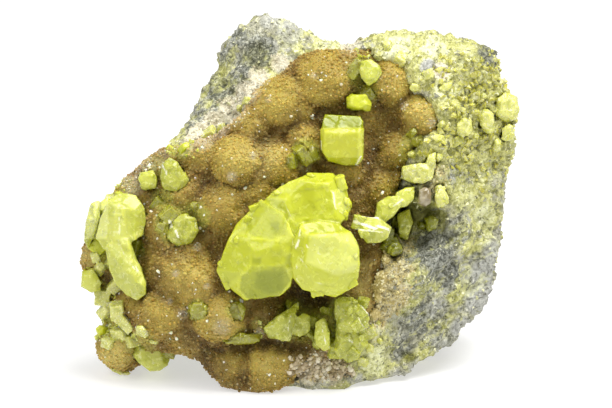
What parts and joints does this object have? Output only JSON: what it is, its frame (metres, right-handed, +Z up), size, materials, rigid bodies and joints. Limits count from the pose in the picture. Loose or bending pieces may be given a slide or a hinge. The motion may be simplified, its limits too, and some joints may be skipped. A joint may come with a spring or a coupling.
{
  "type": "native sulfur crystal specimen",
  "caption": "Hand specimen of lemon-yellow native sulfur crystals grown on a brown crystal crust over a loose lump of grey limestone, standing on a broken flat.",
  "frame": {"origin": "middle of the specimen's bounding box, on the flat it stands on", "axes": "+X across the crystal face to its right, +Y from the crystal face to the broken back, +Z up"},
  "size_m": [0.088, 0.0566, 0.069],
  "materials": {
    "limestone": "matt, granular grey rock mottled with fine yellow-green sulfur",
    "aragonite": "honey-brown crust of tiny glittering crystals",
    "sulfur": "translucent lemon yellow, resinous to glassy crystal faces",
    "calcite": "pale brown, glassy, fairly clear"
  },
  "bodies": {
    "root": {"block_crystal": "sulfur", "calcite_tablet": "calcite", "druse_crust": "aragonite", "embedded_large_crystal": "sulfur", "embedded_small_crystal": "sulfur", "foot_crystal": "sulfur", "ledge_corner_crystal": "sulfur", "ledge_crystals": "sulfur", "ledge_green_crystal": "sulfur", "left_blade_crystals": "sulfur", "left_edge_lower_crystal": "sulfur", "left_edge_upper_crystal": "sulfur", "left_hollow_crystal": "sulfur", "lower_fin_crystals": "sulfur", "lower_mass_crystals": "sulfur", "lower_rod_crystal": "sulfur", "main_crystal_cluster": "sulfur", "matrix_rock": "limestone", "ridged_crystals": "sulfur", "rim_bright_crystal": "sulfur", "rim_inner_crystal": "sulfur", "rim_low_crystal": "sulfur", "rim_outer_crystal": "sulfur", "shoulder_long_crystal": "sulfur", "shoulder_short_crystal": "sulfur", "top_flat_crystal": "sulfur", "top_rounded_crystal": "sulfur", "vug_low_crystal": "sulfur", "vug_right_crystal": "sulfur", "vug_tall_crystal": "sulfur"}
  },
  "joints": []
}
